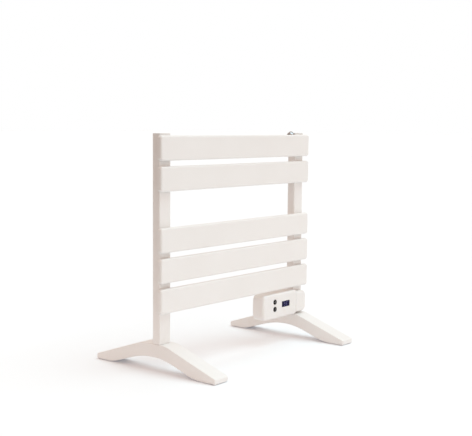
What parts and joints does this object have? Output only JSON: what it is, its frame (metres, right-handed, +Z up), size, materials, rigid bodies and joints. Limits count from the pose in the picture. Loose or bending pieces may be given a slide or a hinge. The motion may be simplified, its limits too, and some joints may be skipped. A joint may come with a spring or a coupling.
{
  "type": "free-standing electric towel rail",
  "caption": "Free-standing electric towel rail: flat heated panels on two posts with arched feet and a control box low on the right.",
  "frame": {"origin": "on the floor, at the centre of the footprint of the feet and panels", "axes": "+X along the panels towards the control box, the front faces -Y, +Z up"},
  "size_m": [0.5, 0.331, 0.483],
  "materials": {
    "paint_white": "satin warm-white powder coat",
    "plastic_white": "fine-textured warm-white moulding",
    "button_black": "satin black",
    "display_glass": "dark navy window, glossy",
    "plastic_black": "black moulding",
    "rubber_black": "matt rubber",
    "rubber_grey": "light grey matt rubber",
    "chrome": "polished plating",
    "valve_dark": "dark blackened steel",
    "zinc_steel": "zinc-plated",
    "brass": "turned brass and copper windings",
    "board_green": "solder mask",
    "component_blue": "moulded case",
    "lead_brown": "brown insulation",
    "lead_blue": "blue insulation",
    "lead_green": "green insulation"
  },
  "bodies": {
    "rail": {"panel_1": "paint_white", "panel_2": "paint_white", "panel_3": "paint_white", "panel_4": "paint_white", "panel_5": "paint_white", "post_left": "paint_white", "post_right": "paint_white", "post_cap_left": "paint_white", "post_cap_right": "paint_white", "foot_left": "paint_white", "foot_right": "paint_white", "control_front_cover": "plastic_white", "control_rear_cover": "plastic_white", "control_end_cap": "plastic_white", "cord_gland": "plastic_white", "gland_nut": "plastic_white", "thermal_cutoff": "plastic_white", "display_window": "display_glass", "display_module": "plastic_black", "terminal_block": "plastic_black", "tilt_switch": "plastic_black", "heater_gasket": "rubber_black", "bleed_seal": "rubber_black", "foot_pad_left_front": "rubber_grey", "foot_pad_left_back": "rubber_grey", "foot_pad_right_front": "rubber_grey", "foot_pad_right_back": "rubber_grey", "bleed_valve_body": "chrome", "end_cap_screw": "valve_dark", "foot_insert_left": "zinc_steel", "foot_insert_right": "zinc_steel", "foot_screw_left_1": "zinc_steel", "foot_screw_left_2": "zinc_steel", "foot_screw_right_1": "zinc_steel", "foot_screw_right_2": "zinc_steel", "base_screw_left": "zinc_steel", "base_screw_right": "zinc_steel", "cover_screw_1": "zinc_steel", "cover_screw_2": "zinc_steel", "cover_screw_3": "zinc_steel", "cover_screw_4": "zinc_steel", "heater_boss": "zinc_steel", "heating_element": "zinc_steel", "post_plug_left": "zinc_steel", "switch_up": "zinc_steel", "switch_down": "zinc_steel", "temperature_probe": "brass", "transformer": "brass", "control_board": "board_green", "relay": "component_blue", "capacitor": "component_blue", "lead_live": "lead_brown", "lead_neutral": "lead_blue", "lead_earth": "lead_green"},
    "button_up": {"button_up": "button_black"},
    "button_down": {"button_down": "button_black"},
    "bleed_screw": {"bleed_screw": "valve_dark"}
  },
  "joints": [
    {"name": "button_up_press", "type": "slide", "parent": "rail", "child": "button_up", "axis": [0, 1, 0], "range_m": [0, 0.0008], "stiffness_N_per_m": 400},
    {"name": "button_down_press", "type": "slide", "parent": "rail", "child": "button_down", "axis": [0, 1, 0], "range_m": [0, 0.0008], "stiffness_N_per_m": 400},
    {"name": "bleed_screw_turn", "type": "hinge", "parent": "rail", "child": "bleed_screw", "pos_m": [0.205, -0.0095, 0.473], "axis": [-1, 0, 0], "range_deg": [0, 180]}
  ]
}
